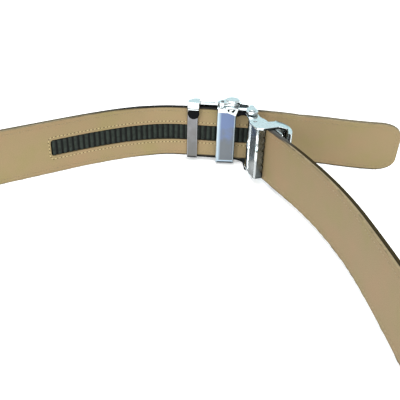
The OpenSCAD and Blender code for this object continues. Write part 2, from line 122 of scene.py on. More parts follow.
# Hollow part of the upper cheek's rim: its reach along the clamp, its heights, and the tilts of its faces
HOLLOW_START = 24.5 * MM
HOLLOW_END = 37 * MM
CHEEK_FOOT = 38.8 * MM
CHEEK_TOP = 40.4 * MM
HOLLOW_END_TILT = 0.5
CHEEK_TOP_TILT = 0.85

# Box round the recesses in the frame's lip, and the inner side of the frame's low wall
RECESS_LEFT = 57.0 * MM
RECESS_RIGHT = 62.9 * MM
RECESS_NEAR = 148.4 * MM
RECESS_FLOOR = 149.3 * MM
RECESS_LOW = 39.3 * MM
RECESS_HIGH = 42.1 * MM
LOW_WALL_TOP = 1.6 * MM
LOW_WALL_BACK = 161.9 * MM

# Rounding of the metal and plastic pieces: edges sharper than this angle, and longer than so many widths of
# the rounding, are rounded. Faces within the other angle of each other are one flat. The last two are the
# tilt limit of the face with the wider rounding, and its segments
SHARP = math.radians(32)
LEAST_EDGE = 2.2
ONE_FLAT = math.radians(0.5)
ROLLED_TILT = -0.9
ROLLED_STEPS = 4

# Half the length of the floor's side
FLOOR_REACH = 3.0


def linear(hex_colour):
    """Linear RGBA for an sRGB hex colour."""
    channels = [int(hex_colour[i : i + 2], 16) / 255 for i in (1, 3, 5)]
    return (*[c / 12.92 if c <= 0.04045 else ((c + 0.055) / 1.055) ** 2.4 for c in channels], 1.0)


def add_node(tree, kind, inputs=None, stops=(), **settings):
    """Adds a node. Inputs hold values, or the sockets that they are linked from, and stops the places and
    colours of a colour ramp."""
    node = tree.nodes.new(kind)
    for name, value in settings.items():
        setattr(node, name, value)
    for name, value in (inputs or {}).items():
        if isinstance(value, bpy.types.NodeSocket):
            tree.links.new(value, node.inputs[name])
        else:
            node.inputs[name].default_value = value
    if stops:
        elements = node.color_ramp.elements
        while len(elements) < len(stops):
            elements.new(0.5)
        for element, (place, colour) in zip(elements, stops):
            element.position = place
            element.color = colour
    return node


def new_material(name, **shader_inputs):
    """Material with one Principled shader, and that shader and its node tree."""
    material = bpy.data.materials.new(name)
    material.use_nodes = True
    tree = material.node_tree
    tree.nodes.clear()
    shader = add_node(tree, "ShaderNodeBsdfPrincipled", shader_inputs)
    add_node(tree, "ShaderNodeOutputMaterial", {"Surface": shader.outputs["BSDF"]})
    return material, tree, shader


def give_surface(tree, shader, colour, gloss=None, relief=None):
    """Links the shader to its colour, to its gloss (a pattern and the roughness at its low and its high end)
    and to its relief (a pattern, its strength and its depth in mm)."""
    tree.links.new(colour, shader.inputs["Base Color"])
    if gloss:
        pattern, low, high = gloss
        rough = add_node(tree, "ShaderNodeMapRange", {"Value": pattern, "To Min": low, "To Max": high})
        tree.links.new(rough.outputs["Result"], shader.inputs["Roughness"])
    if relief:
        pattern, strength, depth = relief
        values = {"Height": pattern, "Strength": strength, "Distance": depth * MM}
        bump = add_node(tree, "ShaderNodeBump", values)
        tree.links.new(bump.outputs["Normal"], shader.inputs["Normal"])


def grey(value):
    return (value, value, value, 1.0)


def black_leather():
    """Aniline-dyed cowhide, pressed with a fine pebble grain. Dark and soft, dull sheen on the grain."""
    material, tree, shader = new_material("dyed pebble grain cowhide", **{"Specular IOR Level": 0.35})
    strap = add_node(tree, "ShaderNodeUVMap", uv_map="strap").outputs["UV"]
    # Pebbles of the pressed grain, 0.9 mm across
    pebbles = add_node(
        tree, "ShaderNodeTexVoronoi", {"Vector": strap, "Scale": 1 / (0.9 * MM)}, feature="SMOOTH_F1"
    ).outputs["Distance"]
    pores = add_node(tree, "ShaderNodeTexNoise", {"Vector": strap, "Scale": 1 / (0.25 * MM), "Detail": 3.0})
    dye = add_node(tree, "ShaderNodeTexNoise", {"Vector": strap, "Scale": 1 / (30 * MM), "Detail": 4.0})
    stops = [(0.3, linear("#161515")), (0.7, linear("#1f1e1d"))]
    colour = add_node(tree, "ShaderNodeValToRGB", {"Fac": dye.outputs["Fac"]}, stops)
    give_surface(tree, shader, colour.outputs["Color"])
    values = {"Value": pebbles, "From Max": 0.7, "To Min": 0.38, "To Max": 0.6}
    gloss = add_node(tree, "ShaderNodeMapRange", values)
    tree.links.new(gloss.outputs["Result"], shader.inputs["Roughness"])
    values = {"Height": pebbles, "Strength": 0.45, "Distance": 0.08 * MM}
    grain = add_node(tree, "ShaderNodeBump", values).outputs["Normal"]
    values = {"Height": pores.outputs["Fac"], "Strength": 0.25, "Distance": 0.03 * MM, "Normal": grain}
    fine = add_node(tree, "ShaderNodeBump", values)
    tree.links.new(fine.outputs["Normal"], shader.inputs["Normal"])
    return material


def edge_paint(name, shades):
    """Acrylic edge paint. Matt, black by the buckle and worn through to brown leather away from it. The black
    by the buckle and the darker brown of the fixed end are partly painted shade, under the frame's rim and on
    the shaded fixed end.
    shades holds the colours of the free end, of the buckle, of the waist, of the fixed end and of the part
    of it in the clamp."""
    material, tree, shader = new_material(name, **{"Specular IOR Level": 0.1})
    strap = add_node(tree, "ShaderNodeUVMap", uv_map="strap").outputs["UV"]
    along = add_node(tree, "ShaderNodeSeparateXYZ", {"Vector": strap}).outputs["X"]
    place = add_node(tree, "ShaderNodeMapRange", {"Value": along, "From Max": 1100 * MM}).outputs["Result"]
    free, buckle, waist, fixed, clamped = (linear(shade) for shade in shades)
    # Places in shares of 1100 mm from the tip of the free end
    # The black by the buckle is partly painted shade under the frame's rim, and the darker fixed end is
    # partly painted shade
    tones = [
        (0.071, free),
        (0.091, buckle),
        (0.165, buckle),
        (0.205, waist),
        (0.7, waist),
        (0.8, fixed),
        (0.94, fixed),
        (0.953, clamped),
    ]
    tone = add_node(tree, "ShaderNodeValToRGB", {"Fac": place}, tones).outputs["Color"]
    waves = add_node(tree, "ShaderNodeTexNoise", {"Vector": strap, "Scale": 1 / (1.5 * MM), "Detail": 3.0})
    worn = waves.outputs["Fac"]
    mottle = add_node(tree, "ShaderNodeValToRGB", {"Fac": worn}, [(0.3, grey(0.75)), (0.7, grey(1.0))])
    colour = add_node(
        tree,
        "ShaderNodeMix",
        {"Factor": 1.0, "A": tone, "B": mottle.outputs["Color"]},
        data_type="RGBA",
        blend_type="MULTIPLY",
    )
    give_surface(tree, shader, colour.outputs["Result"], (worn, 0.65, 0.85), (worn, 0.2, 0.05))
    return material


def tan_lining():
    """Vegetable-tanned lining hide, rolled smooth. Warm tan with faint pink and olive clouds and pores."""
    material, tree, shader = new_material("rolled tan lining hide", **{"Specular IOR Level": 0.25})
    strap = add_node(tree, "ShaderNodeUVMap", uv_map="strap").outputs["UV"]
    parts = add_node(tree, "ShaderNodeSeparateXYZ", {"Vector": strap}).outputs
    along, girth = parts["X"], parts["Y"]
    values = {"Vector": strap, "Scale": 1 / (26 * MM), "Detail": 3.0, "Roughness": 0.55}
    clouds = add_node(tree, "ShaderNodeTexNoise", values)
    stops = [(0.3, linear("#887a52")), (0.5, linear("#8c7958")), (0.7, linear("#907859"))]
    hide = add_node(tree, "ShaderNodeValToRGB", {"Fac": clouds.outputs["Fac"]}, stops)
    # The fixed end is a little darker: painted shade, as it faces away from the lamps
    values = {"Value": along, "From Min": 0.5, "From Max": 0.95, "To Min": 1.0, "To Max": 0.86}
    shade = add_node(tree, "ShaderNodeMapRange", values)
    # Fibres and pores, 0.5 mm apart
    values = {"Vector": strap, "Scale": 1 / (0.5 * MM), "Detail": 5.0, "Roughness": 0.65}
    fibres = add_node(tree, "ShaderNodeTexNoise", values).outputs["Fac"]
    flecks = add_node(tree, "ShaderNodeValToRGB", {"Fac": fibres}, [(0.3, grey(0.86)), (0.62, grey(1.04))])
    colour = hide.outputs["Color"]
    for tone in (shade.outputs["Result"], flecks.outputs["Color"]):
        values = {"Factor": 1.0, "A": colour, "B": tone}
        toned = add_node(tree, "ShaderNodeMix", values, data_type="RGBA", blend_type="MULTIPLY")
        colour = toned.outputs["Result"]
    # Edge paint that ran 1 mm over the margins, together with painted shade: the lower one, partly painted
    # shade along the lower edge, from the tip to past the buckle, the upper one, painted shade under the
    # frame's rim, by the buckle alone. Each line gives the girths in mm where the paint is full and where it
    # ends, and its places along 200 mm
    place = add_node(tree, "ShaderNodeMapRange", {"Value": along, "From Max": 200 * MM}).outputs["Result"]
    margins = [
        (0.75, 1.15, [(0.0, 1.0), (0.3, 0.9), (0.45, 0.3), (0.6, 1.0), (0.79, 1.0), (0.92, 0.15)]),
        (34.5, 34.0, [(0.56, 0.0), (0.6, 1.0), (0.85, 1.0), (0.98, 0.0)]),
    ]
    margin_darks = []
    for full, gone, places in margins:
        margin = add_node(
            tree,
            "ShaderNodeMapRange",
            {"Value": girth, "From Min": full * MM, "From Max": gone * MM, "To Min": 0.85, "To Max": 0.0},
        )
        stops = [(at, grey(share)) for at, share in places]
        stretch = add_node(tree, "ShaderNodeValToRGB", {"Fac": place}, stops)
        values = {0: margin.outputs["Result"], 1: stretch.outputs["Color"]}
        margin_darks.append(add_node(tree, "ShaderNodeMath", values, operation="MULTIPLY").outputs["Value"])
    bleed_and_shade = add_node(tree, "ShaderNodeMath", {0: margin_darks[0], 1: margin_darks[1]}, operation="MAXIMUM").outputs["Value"]
    values = {"Factor": bleed_and_shade, "A": colour, "B": linear("#15130f")}
    inked_and_shaded = add_node(tree, "ShaderNodeMix", values, data_type="RGBA").outputs["Result"]
    give_surface(tree, shader, inked_and_shaded, (fibres, 0.75, 0.58), (fibres, 0.35, 0.06))
    return material


def thread(name, hex_colour):
    """Waxed polyester thread, twisted. Each stitch shows as a short glossy bead with slanting plies."""
    material, tree, shader = new_material(name, **{"Roughness": 0.5, "Specular IOR Level": 0.35})
    place = add_node(tree, "ShaderNodeTexCoord").outputs["Object"]
    plies = add_node(
        tree,
        "ShaderNodeTexWave",
        {"Vector": place, "Scale": 1 / (4 * MM), "Distortion": 1.5},
        bands_direction="DIAGONAL",
    ).outputs["Fac"]
    lit = linear(hex_colour)
    stops = [(0.0, [channel * 0.7 for channel in lit[:3]] + [1.0]), (0.6, lit)]
    shade = add_node(tree, "ShaderNodeValToRGB", {"Fac": plies}, stops)
    give_surface(tree, shader, shade.outputs["Color"], relief=(plies, 0.3, 0.04))
    return material


def moulded_nylon():
    """Injection-moulded nylon. Near black in its grooves and a dusty green-grey on its crests: painted shade
    in the grooves and painted light on the crests.
    """
    material, tree, shader = new_material("moulded nylon", **{"Specular IOR Level": 0.15})
    place = add_node(tree, "ShaderNodeTexCoord").outputs["Object"]
    haze = add_node(
        tree, "ShaderNodeTexNoise", {"Vector": place, "Scale": 1 / (2.5 * MM), "Detail": 4.0}
    ).outputs["Fac"]
    # Painted shade in the grooves and painted light on the crests follow the height of each rib, broken up by
    # dust
    rise = add_node(tree, "ShaderNodeAttribute", attribute_name="rise").outputs["Fac"]
    painted_highlight = add_node(tree, "ShaderNodeMath", {0: rise, 1: haze}, operation="MULTIPLY").outputs["Value"]
    stops = [(0.1, linear("#050806")), (0.6, linear("#262e28"))]
    colour = add_node(tree, "ShaderNodeValToRGB", {"Fac": painted_highlight}, stops)
    fine = add_node(tree, "ShaderNodeTexNoise", {"Vector": place, "Scale": 1 / (0.3 * MM)})
    give_surface(tree, shader, colour.outputs["Color"], (haze, 0.3, 0.5), (fine.outputs["Fac"], 0.15, 0.03))
    return material


def bright_chrome():
    """Chrome plate on polished zinc casting. Mirror bright, with the soft ripple of a buffed casting."""
    material, tree, shader = new_material("chrome plate on zinc casting", **{"Metallic": 1.0})
    place = add_node(tree, "ShaderNodeTexCoord").outputs["Object"]
    ripple = add_node(tree, "ShaderNodeTexNoise", {"Vector": place, "Scale": 1 / (3.5 * MM), "Detail": 1.0})
    smears = add_node(
        tree, "ShaderNodeTexNoise", {"Vector": place, "Scale": 1 / (1.2 * MM), "Detail": 5.0}
    ).outputs["Fac"]
    stops = [(0.35, linear("#d3dadc")), (0.65, linear("#e6eced"))]
    colour = add_node(tree, "ShaderNodeValToRGB", {"Fac": smears}, stops)
    relief = (ripple.outputs["Fac"], 0.25, 0.12)
    give_surface(tree, shader, colour.outputs["Color"], (smears, 0.06, 0.2), relief)
    return material


def satin_metal(name, low_colour, high_colour, painted_highlight=None, foot=None):
    """Steel strip, brushed upright. Cloudy soft reflections, and a tint that drifts from its foot to its top.
    painted_highlight holds the colour of a painted highlight and the two places along X between which it
    fades into the rest. foot is the height of the lower edge, above which the metal is darkened as painted
    shade. With both, a painted highlight lip lies over the dark foot."""
    material, tree, shader = new_material(name, **{"Metallic": 1.0})
    place = add_node(tree, "ShaderNodeTexCoord").outputs["Object"]
    parts = add_node(tree, "ShaderNodeSeparateXYZ", {"Vector": place}).outputs
    across, height = parts["X"], parts["Z"]
    # Brush lines run along Z and lie 0.15 mm apart
    stretched = add_node(tree, "ShaderNodeMapping", {"Vector": place, "Scale": (1.0, 1.0, 0.03)})
    values = {"Vector": stretched.outputs["Vector"], "Scale": 1 / (0.3 * MM), "Detail": 3.0}
    lines = add_node(tree, "ShaderNodeTexNoise", values)
    clouds = add_node(
        tree, "ShaderNodeTexNoise", {"Vector": place, "Scale": 1 / (6 * MM), "Detail": 3.0}
    ).outputs["Fac"]
    drift = add_node(
        tree,
        "ShaderNodeMapRange",
        {"Value": height, "From Min": 14 * MM, "From Max": 32 * MM, "To Min": -0.25, "To Max": 0.25},
    )
    values = {0: clouds, 1: drift.outputs["Result"]}
    tint = add_node(tree, "ShaderNodeMath", values, operation="ADD", use_clamp=True)
    stops = [(0.3, linear(low_colour)), (0.7, linear(high_colour))]
    shown = add_node(tree, "ShaderNodeValToRGB", {"Fac": tint.outputs["Value"]}, stops).outputs["Color"]
    # Colours that lie over the tint, each with the share that it covers
    covers = []
    # Painted highlight along the left edge
    if painted_highlight:
        bright, full, gone = painted_highlight
        values = {"Value": across, "From Min": full, "From Max": gone, "To Min": 1.0, "To Max": 0.0}
        covers.append((add_node(tree, "ShaderNodeMapRange", values).outputs["Result"], bright))
    # Painted shade at the foot, with a painted highlight lip over it when both are given
    if foot:
        values = {"Value": height, "From Min": foot, "From Max": foot + FOOT_REACH}
        above = add_node(tree, "ShaderNodeMapRange", values).outputs["Result"]
        if painted_highlight:
            stops = [(0.24, grey(0.0)), (0.32, grey(1.0)), (0.4, grey(1.0)), (0.52, grey(0.0))]
            lip = add_node(tree, "ShaderNodeValToRGB", {"Fac": above}, stops)
            covers.append((lip.outputs["Color"], bright))
        stops = [(0.2, grey(1.0)), (0.3, grey(0.0))]
        shade_tone = add_node(tree, "ShaderNodeValToRGB", {"Fac": above}, stops)
        covers.append((shade_tone.outputs["Color"], "#242526"))
    for share, cover in covers:
        values = {"Factor": share, "A": shown, "B": linear(cover)}
        shown = add_node(tree, "ShaderNodeMix", values, data_type="RGBA").outputs["Result"]
    give_surface(tree, shader, shown, (clouds, 0.3, 0.46), (lines.outputs["Fac"], 0.2, 0.02))
    return material


def dark_steel():
    """Hardened steel, oil-blackened. Dark grey, with sharp bright streaks."""
    material, tree, shader = new_material("blackened hardened steel", **{"Metallic": 1.0})
    place = add_node(tree, "ShaderNodeTexCoord").outputs["Object"]
    height = add_node(tree, "ShaderNodeSeparateXYZ", {"Vector": place}).outputs["Z"]
    # Draw lines run along Z and lie 0.3 mm apart
    stretched = add_node(tree, "ShaderNodeMapping", {"Vector": place, "Scale": (1.0, 1.0, 0.05)})
    values = {"Vector": stretched.outputs["Vector"], "Scale": 1 / (0.6 * MM), "Detail": 3.0}
    lines = add_node(tree, "ShaderNodeTexNoise", values)
    stains = add_node(
        tree, "ShaderNodeTexNoise", {"Vector": place, "Scale": 1 / (4 * MM), "Detail": 4.0}
    ).outputs["Fac"]
    stops = [(0.35, linear("#666b6c")), (0.65, linear("#858b8a"))]
    clean = add_node(tree, "ShaderNodeValToRGB", {"Fac": stains}, stops).outputs["Color"]
    # Painted shade, darkest at the foot, fades out between these heights
    values = {"Value": height, "From Min": 5 * MM, "From Max": 13 * MM, "To Min": 0.8, "To Max": 0.0}
    shade_tone = add_node(tree, "ShaderNodeMapRange", values).outputs["Result"]
    values = {"Factor": shade_tone, "A": clean, "B": linear("#33383a")}
    shown = add_node(tree, "ShaderNodeMix", values, data_type="RGBA").outputs["Result"]
    give_surface(tree, shader, shown, (stains, 0.16, 0.34), (lines.outputs["Fac"], 0.3, 0.05))
    return material


def shade_metal():
    """Dull, nearly black metal with a mottled tone: painted shade in the hollows and on the lower bends,
    flanks and notches of the metal pieces.
    """
    finish = {"Metallic": 0.6, "Specular IOR Level": 0.2}
    material, tree, shader = new_material("dull dark metal as painted shade", **finish)
    place = add_node(tree, "ShaderNodeTexCoord").outputs["Object"]
    shade_tone = add_node(
        tree, "ShaderNodeTexNoise", {"Vector": place, "Scale": 1 / (0.8 * MM), "Detail": 4.0}
    ).outputs["Fac"]
    stops = [(0.35, linear("#101413")), (0.65, linear("#2a302f"))]
    colour = add_node(tree, "ShaderNodeValToRGB", {"Fac": shade_tone}, stops)
    give_surface(tree, shader, colour.outputs["Color"], (shade_tone, 0.55, 0.8), (shade_tone, 0.3, 0.05))
    return material


def black_abs():
    """Gloss black ABS moulding. Deep black with one clean soft reflection and hairline scuffs."""
    material, tree, shader = new_material("gloss black ABS", **{"Specular IOR Level": 0.05})
    place = add_node(tree, "ShaderNodeTexCoord").outputs["Object"]
    scuffs = add_node(
        tree, "ShaderNodeTexNoise", {"Vector": place, "Scale": 1 / (1.5 * MM), "Detail": 4.0}
    ).outputs["Fac"]
    stops = [(0.4, linear("#08080a")), (0.7, linear("#0e0e11"))]
    colour = add_node(tree, "ShaderNodeValToRGB", {"Fac": scuffs}, stops)
    give_surface(tree, shader, colour.outputs["Color"], (scuffs, 0.1, 0.22))
    return material


def studio_floor():
    """Matt white sweep. Plain, and bright enough to read as the white of the photograph."""
    finish = {"Roughness": 0.9, "Specular IOR Level": 0.0}
    glow = {"Emission Color": grey(1.0), "Emission Strength": 0.35}
    material, tree, shader = new_material("matt white sweep", **finish, **glow)
    place = add_node(tree, "ShaderNodeTexCoord").outputs["Object"]
    tone = add_node(tree, "ShaderNodeTexNoise", {"Vector": place, "Scale": 8.0}).outputs["Fac"]
    colour = add_node(tree, "ShaderNodeValToRGB", {"Fac": tone}, [(0.3, grey(0.88)), (0.7, grey(0.9))])
    give_surface(tree, shader, colour.outputs["Color"])
    return material


def link(obj):
    bpy.context.scene.collection.objects.link(obj)
    return obj


def finish_piece(obj, material, body, slot, *nodes):
    """Gives a finished mesh its material, its body and the solids that it stands for. slot is not used."""
    for one in material if isinstance(material, tuple) else (material,):
        if one not in obj.data.materials[:]:
            obj.data.materials.append(one)
    for polygon in obj.data.polygons:
        polygon.use_smooth = True
    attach(obj, body)
    if nodes:
        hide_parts(*nodes)


def joined_mesh(node):
    """The node's loose triangles as one connected mesh."""
    mesh = bmesh.new()
    mesh.from_mesh(frame["nodes"][node].data)
    bmesh.ops.remove_doubles(mesh, verts=mesh.verts, dist=SAME_POINT)
    return mesh


def outline_chains(mesh):
    """The two long sharp edges of the band: each runs from its square end round the tip and back."""
    square = math.radians(60)
    least_length = 0.5
    sharp = [e for e in mesh.edges if e.is_manifold and e.calc_face_angle() > square]
    near = {}
    for edge in sharp:
        for a, b in (edge.verts, reversed(edge.verts)):
            near.setdefault(a, []).append(b)
    corners = {v for v, others in near.items() if len(others) == 3}
    chains = []
    for corner in corners:
        for second in near[corner]:
            if second in corners:
                continue
            chain = [corner, second]
            while chain[-1] not in corners:
                chain.append(next(v for v in near[chain[-1]] if v is not chain[-2]))
            chains.append([v.co.copy() for v in chain])
    # Each chain was found from both its ends: keep the one that starts at the higher end
    whole = [c for c in chains if c[0].z > c[-1].z and chain_length(c) > least_length]
    return [without_upright_points(c) for c in whole]


def without_upright_points(points):
    """Leaves out the points inside the tip's upright end, which belong to the lining's window."""
    least_rise, most_turn = 0.98, 0.01
    kept = [points[0]]
    for a, b, c in zip(points, points[1:], points[2:]):
        upright = abs((b - a).normalized().z) > least_rise and (b - a).angle(c - b) < most_turn
        if not upright:
            kept.append(b)
    return kept + [points[-1]]


def chain_length(points):
    return sum((b - a).length for a, b in zip(points, points[1:]))


def smoothed(points, steps):
    """Catmull-Rom curve through the points, with the given steps in each stretch."""
    result = []
    for i in range(len(points) - 1):
        p0, p1, p2, p3 = points[max(i - 1, 0)], points[i], points[i + 1], points[min(i + 2, len(points) - 1)]
        for k in range(steps):
            t = k / steps
            square, cube = 2 * p0 - 5 * p1 + 4 * p2 - p3, 3 * p1 - p0 - 3 * p2 + p3
            result.append(0.5 * (2 * p1 + (p2 - p0) * t + square * t * t + cube * t**3))
    return result + [points[-1]]


class StrapPath:
    """Sections of the strap from its tip to its fixed end. Depth runs outward from between the layers."""

    def __init__(self):
        mesh = joined_mesh("strap_outer")
        inner, outer = sorted(outline_chains(mesh), key=chain_length)
        mesh.free()
        half = len(inner) // 2
        self.high = smoothed(inner[:half][::-1], STEPS_PER_SECTION)
        self.low = smoothed(inner[half:], STEPS_PER_SECTION)
        self.outer_high = smoothed(outer[:half][::-1], STEPS_PER_SECTION)
        self.outer_low = smoothed(outer[half:], STEPS_PER_SECTION)
        middle = [(a + b) / 2 for a, b in zip(self.high, self.low)]
        self.stations = [0.0]
        for a, b in zip(middle, middle[1:]):
            self.stations.append(self.stations[-1] + (b - a).length)
        self.length = self.stations[-1]
        self.thickness = (self.outer_high[-1] - self.high[-1]).length

    def section(self, s):
        """Middle, outward direction, upward direction and half height at a distance from the tip."""
        s = min(max(s, 0.0), self.length)
        low, high = 0, len(self.stations) - 1
        while high - low > 1:
            mid = (low + high) // 2
            low, high = (mid, high) if self.stations[mid] <= s else (low, mid)
        t = (s - self.stations[low]) / (self.stations[high] - self.stations[low])
        top, bottom = self.high[low].lerp(self.high[high], t), self.low[low].lerp(self.low[high], t)
        back = self.outer_high[low].lerp(self.outer_high[high], t)
        rise = top - bottom
        return (top + bottom) / 2, (back - top).normalized(), rise.normalized(), rise.length / 2

    def point(self, s, depth, height):
        middle, out, up, _ = self.section(s)
        return middle + out * depth + up * height

    def half(self, s):
        return self.section(s)[3]

    def distance_of(self, point):
        """Distance along the strap of the section nearest to a point."""

        def middle(i):
            return (self.high[i] + self.low[i]) / 2

        near = min(range(len(self.stations)), key=lambda i: (middle(i) - point).length_squared)
        a, b = max(near - 1, 0), min(near + 1, len(self.stations) - 1)
        start, end = middle(a), middle(b)
        along = (end - start).xy
        share = (point - start).xy.dot(along) / along.length_squared
        return self.stations[a] + share * (self.stations[b] - self.stations[a])


def swept_mesh(path, rings, bands=lambda i, j: True, painted=()):
    """Mesh through rings of (distance, depth, height) points. bands says which sides of each ring to close,
    and painted names the sides that are cut edges."""
    mesh = bmesh.new()
    uv = mesh.loops.layers.uv.new("strap")
    rows = []
    for ring in rings:
        rows.append([(mesh.verts.new(path.point(*q)), q) for q in ring])
    girth = []
    for ring in rings:
        run = [0.0]
        for a, b in zip(ring, ring[1:]):
            run.append(run[-1] + math.hypot(b[1] - a[1], b[2] - a[2]))
        girth.append(run)
    count = len(rings[0])
    for i in range(len(rows) - 1):
        for j in range(count):
            if not bands(i, j):
                continue
            k = (j + 1) % count
            corners = [(i, j), (i, k), (i + 1, k), (i + 1, j)]
            face = mesh.faces.new([rows[r][c][0] for r, c in corners])
            face.material_index = SECOND if j in painted else 0
            for loop, (r, c) in zip(face.loops, corners):
                wrap = girth[r][-1] if c == 0 and j == count - 1 else girth[r][c]
                loop[uv].uv = (rings[r][c][0], wrap)
    return mesh, rows, uv


def close_with(mesh, uv, corners, finish=0):
    """Adds one face over the given corners, with the strap's own distance and height as its UV."""
    face = mesh.faces.new([vertex for vertex, _ in corners])
    face.material_index = finish
    for loop, (_, q) in zip(face.loops, corners):
        loop[uv].uv = (q[0] + q[1], q[2])


def to_object(mesh, name):
    bmesh.ops.recalc_face_normals(mesh, faces=mesh.faces)
    data = bpy.data.meshes.new(name)
    mesh.to_mesh(data)
    mesh.free()
    return link(bpy.data.objects.new(name, data))


def round_edges(obj, width, angle):
    """Rounds the edges sharper than the angle and keeps the flats flat."""
    bevel = obj.modifiers.new("rounded edges", "BEVEL")
    bevel.width = width
    bevel.segments = 2
    bevel.limit_method = "ANGLE"
    bevel.angle_limit = math.radians(angle)
    bevel.use_clamp_overlap = False
    bevel.harden_normals = True
    return obj


def roll_edges(mesh, edges, width, segments, finish=0):
    """Rounds the given edges. finish is the place of the material that the rounding takes."""
    bmesh.ops.bevel(
        mesh,
        geom=edges,
        offset=width,
        segments=segments,
        profile=0.5,
        affect="EDGES",
        clamp_overlap=False,
        material=finish,
    )


def round_rim(mesh, rows, places, width, segments):
    """Rounds the long edges at the given places of each ring. The rounding takes the edge paint."""
    edges = []
    for one, other in zip(rows, rows[1:]):
        for place in places:
            edges.append(mesh.edges.get((one[place][0], other[place][0])))
    roll_edges(mesh, edges, width, segments, SECOND)


def outer_leather(path):
    t = path.thickness

    def ring(s):
        h = path.half(s)
        return [(s, 0.0, -h), (s, t, -h), (s, t, h), (s, 0.0, h)]

    rings = [ring(s) for s in path.stations]
    mesh, rows, uv = swept_mesh(path, rings, painted=(0, 2))
    for row in (rows[0], rows[-1]):
        close_with(mesh, uv, row, SECOND)
    round_rim(mesh, rows, (1, 2), OUTER_RIM, 4)
    return to_object(mesh, "outer_leather")


def strip_range(path):
    """Start and end of the toothed strip along the strap."""
    distances = [path.distance_of(v.co) for v in frame["nodes"]["toothed_strip"].data.vertices]
    return min(distances), max(distances)


def strip_heights(path):
    """Lower and upper edge of the toothed strip, measured from the strap's middle."""
    heights = []
    for vertex in frame["nodes"]["toothed_strip"].data.vertices:
        middle, _, up, _ = path.section(path.distance_of(vertex.co))
        heights.append((vertex.co - middle).dot(up))
    return min(heights), max(heights)


def lining_leather(path, start, end, low, high):
    """Lining with a window whose corners are round."""
    first, last = start - WINDOW_PLAY, end + WINDOW_PLAY
    middle, half = (low + high) / 2, (high - low) / 2 + WINDOW_MARGIN
    turns = [math.radians(a) for a in (0, 22.5, 45, 67.5, 90)]
    corner = [(WINDOW_CORNER * (1 - math.cos(a)), half - WINDOW_CORNER * (1 - math.sin(a))) for a in turns]
    window = [(first + d, h) for d, h in corner] + [(last - d, h) for d, h in reversed(corner)]
    # The strap's own sections give way to the window's where the two nearly meet
    too_near, same_place = 0.3 * MM, 1e-9
    clear = [s for s in path.stations if all(abs(s - w[0]) > too_near for w in window)]
    heights = dict(window)
    stations = sorted(clear + [w[0] for w in window])

    def opening(s):
        if s in heights:
            return heights[s]
        return half if first < s < last else half - WINDOW_CORNER

    def ring(s):
        h, w = path.half(s), opening(s)
        levels = [-h, middle - w, middle + w, h]
        return [(s, INNER_FACE, z) for z in levels] + [(s, -LAYER_GAP, z) for z in reversed(levels)]

    rings = [ring(s) for s in stations]

    def cut(i):
        return first - same_place <= stations[i] and stations[i + 1] <= last + same_place

    mesh, rows, uv = swept_mesh(path, rings, lambda i, j: not (cut(i) and j in (1, 5)), painted=(3, 7))
    for i in range(len(rows) - 1):
        if cut(i):
            for a, b in ((1, 6), (5, 2)):
                close_with(mesh, uv, [rows[i][a], rows[i][b], rows[i + 1][b], rows[i + 1][a]])
    for i in (stations.index(window[0][0]), stations.index(window[-1][0])):
        close_with(mesh, uv, [rows[i][1], rows[i][2], rows[i][5], rows[i][6]])
    for row in (rows[0], rows[-1]):
        for a, b, c, d in ((0, 1, 6, 7), (1, 2, 5, 6), (2, 3, 4, 5)):
            close_with(mesh, uv, [row[a], row[b], row[c], row[d]], SECOND)
    round_rim(mesh, rows, (0, 3), LINING_RIM, 3)
    return round_edges(to_object(mesh, "lining_leather"), WINDOW_RIM, 70)


def rack_of_teeth(path, start, end, low, high):
    """Saw-toothed rib strip that lies in the lining's window."""
    # Share of the pitch, and height as a share of the tooth
    profile = [(0.0, 0.0), (0.1, 0.05), (0.46, 0.9), (0.55, 1.0), (0.8, 1.0), (0.88, 0.85), (0.95, 0.05)]
    pitch = (end - start) / TEETH
    marks = [(start + (n + share) * pitch, rise) for n in range(TEETH) for share, rise in profile]
    marks.append((end, 0.0))

    def ring(s, rise):
        face = STRIP_ROOT + (STRIP_CREST - STRIP_ROOT) * rise
        return [(s, face, low), (s, STRIP_BACK, low), (s, STRIP_BACK, high), (s, face, high)]

    mesh, rows, uv = swept_mesh(path, [ring(*m) for m in marks])
    for row in (rows[0], rows[-1]):
        close_with(mesh, uv, row)
    rack = to_object(mesh, "rack_of_teeth")
    rising = rack.data.attributes.new("rise", "FLOAT", "POINT")
    rising.data.foreach_set("value", [rise for _, rise in marks for _ in rows[0]])
    return round_edges(rack, RIB_RIM, 60)


def inset_outline(path, inset):
    """Seam line along both edges and round the tip, as (distance, height) pairs."""
    top = [(s, path.half(s)) for s in reversed(path.stations)]
    tip = path.half(0.0)
    steps = 12
    end = [(0.0, tip * (1 - 2 * k / steps)) for k in range(1, steps)]
    bottom = [(s, -h) for s, h in reversed(top)]
    outline = top + end + bottom
    line = []
    for i, (s, h) in enumerate(outline):
        a, b = outline[max(i - 1, 0)], outline[min(i + 1, len(outline) - 1)]
        along = Vector((b[0] - a[0], b[1] - a[1])).normalized()
        inward = Vector((-along.y, along.x))
        line.append((s + inward.x * inset, h + inward.y * inset))
    return line


def window_outline(start, end, low, high):
    """Closed seam line round the window, as (distance, height) pairs."""
    left, right = start - WINDOW_END_SEAM, end + WINDOW_END_SEAM
    middle, half = (low + high) / 2, (high - low) / 2 + WINDOW_SEAM
    corner = SEAM_CORNER
    steps = 60
    line = [(left + corner + (right - left - 2 * corner) * k / steps, half) for k in range(steps + 1)]
    for h, first in ((half - corner, 90), (corner - half, 0)):
        turns = [math.radians(first - a) for a in (22.5, 45, 67.5, 90)]
        line += [(right - corner + corner * math.cos(a), h + corner * math.sin(a)) for a in turns]
    line += [(left + right - s, -h) for s, h in line]
    return [(s, middle + h) for s, h in line + line[:1]]


